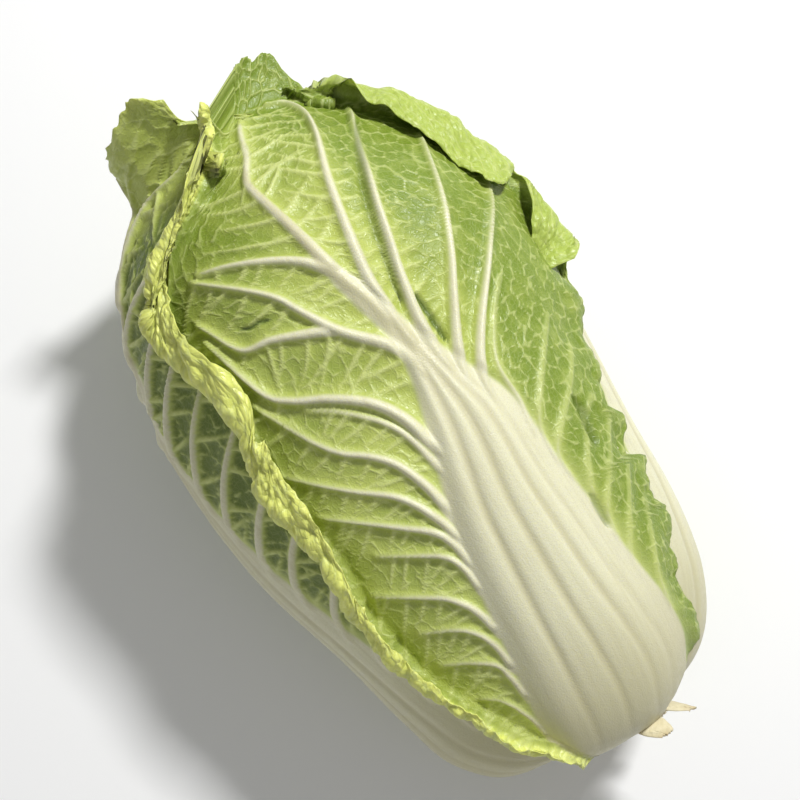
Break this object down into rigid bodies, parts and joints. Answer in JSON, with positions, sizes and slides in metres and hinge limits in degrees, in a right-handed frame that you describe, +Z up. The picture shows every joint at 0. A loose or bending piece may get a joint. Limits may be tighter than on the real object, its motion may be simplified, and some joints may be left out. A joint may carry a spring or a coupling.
{
  "type": "napa cabbage",
  "caption": "Head of napa cabbage lying on its side: nested leaves with thick white ribs and crinkled pale green blades round a short cut stem.",
  "frame": {"origin": "on the surface the head lies on, under the middle of its box", "axes": "+Y from the cut stem to the leaf tips, +Z up, +X to the right of the rib that lies on top, seen from above with the tips away"},
  "size_m": [0.1682, 0.3132, 0.1488],
  "materials": {
    "outer_leaf": "fresh leaf: satin, yellow-green crinkled blade with raised white veins and a thick white rib",
    "inner_leaf": "fresh leaf: satin, paler yellow-green blade with a white rib",
    "heart_leaf": "fresh leaf kept from the light: satin, cream to pale yellow",
    "stem": "cut stem: matt, cream with a slightly browned skin"
  },
  "bodies": {
    "root": {"outer_leaf_front": "outer_leaf", "outer_leaf_left": "outer_leaf", "outer_leaf_right": "outer_leaf", "outer_leaf_under": "outer_leaf", "wrapper_leaf_1": "inner_leaf", "wrapper_leaf_2": "inner_leaf", "wrapper_leaf_3": "inner_leaf", "wrapper_leaf_4": "inner_leaf", "wrapper_leaf_5": "inner_leaf", "wrapper_leaf_6": "inner_leaf", "inner_leaf_01": "heart_leaf", "inner_leaf_02": "heart_leaf", "inner_leaf_03": "heart_leaf", "inner_leaf_04": "heart_leaf", "inner_leaf_05": "heart_leaf", "inner_leaf_06": "heart_leaf", "inner_leaf_07": "heart_leaf", "inner_leaf_08": "heart_leaf", "inner_leaf_09": "heart_leaf", "inner_leaf_10": "heart_leaf", "inner_leaf_11": "heart_leaf", "inner_leaf_12": "heart_leaf", "heart_bud": "heart_leaf", "stem": "stem", "leaf_stub_1": "stem", "leaf_stub_2": "stem", "leaf_stub_3": "stem"}
  },
  "joints": []
}
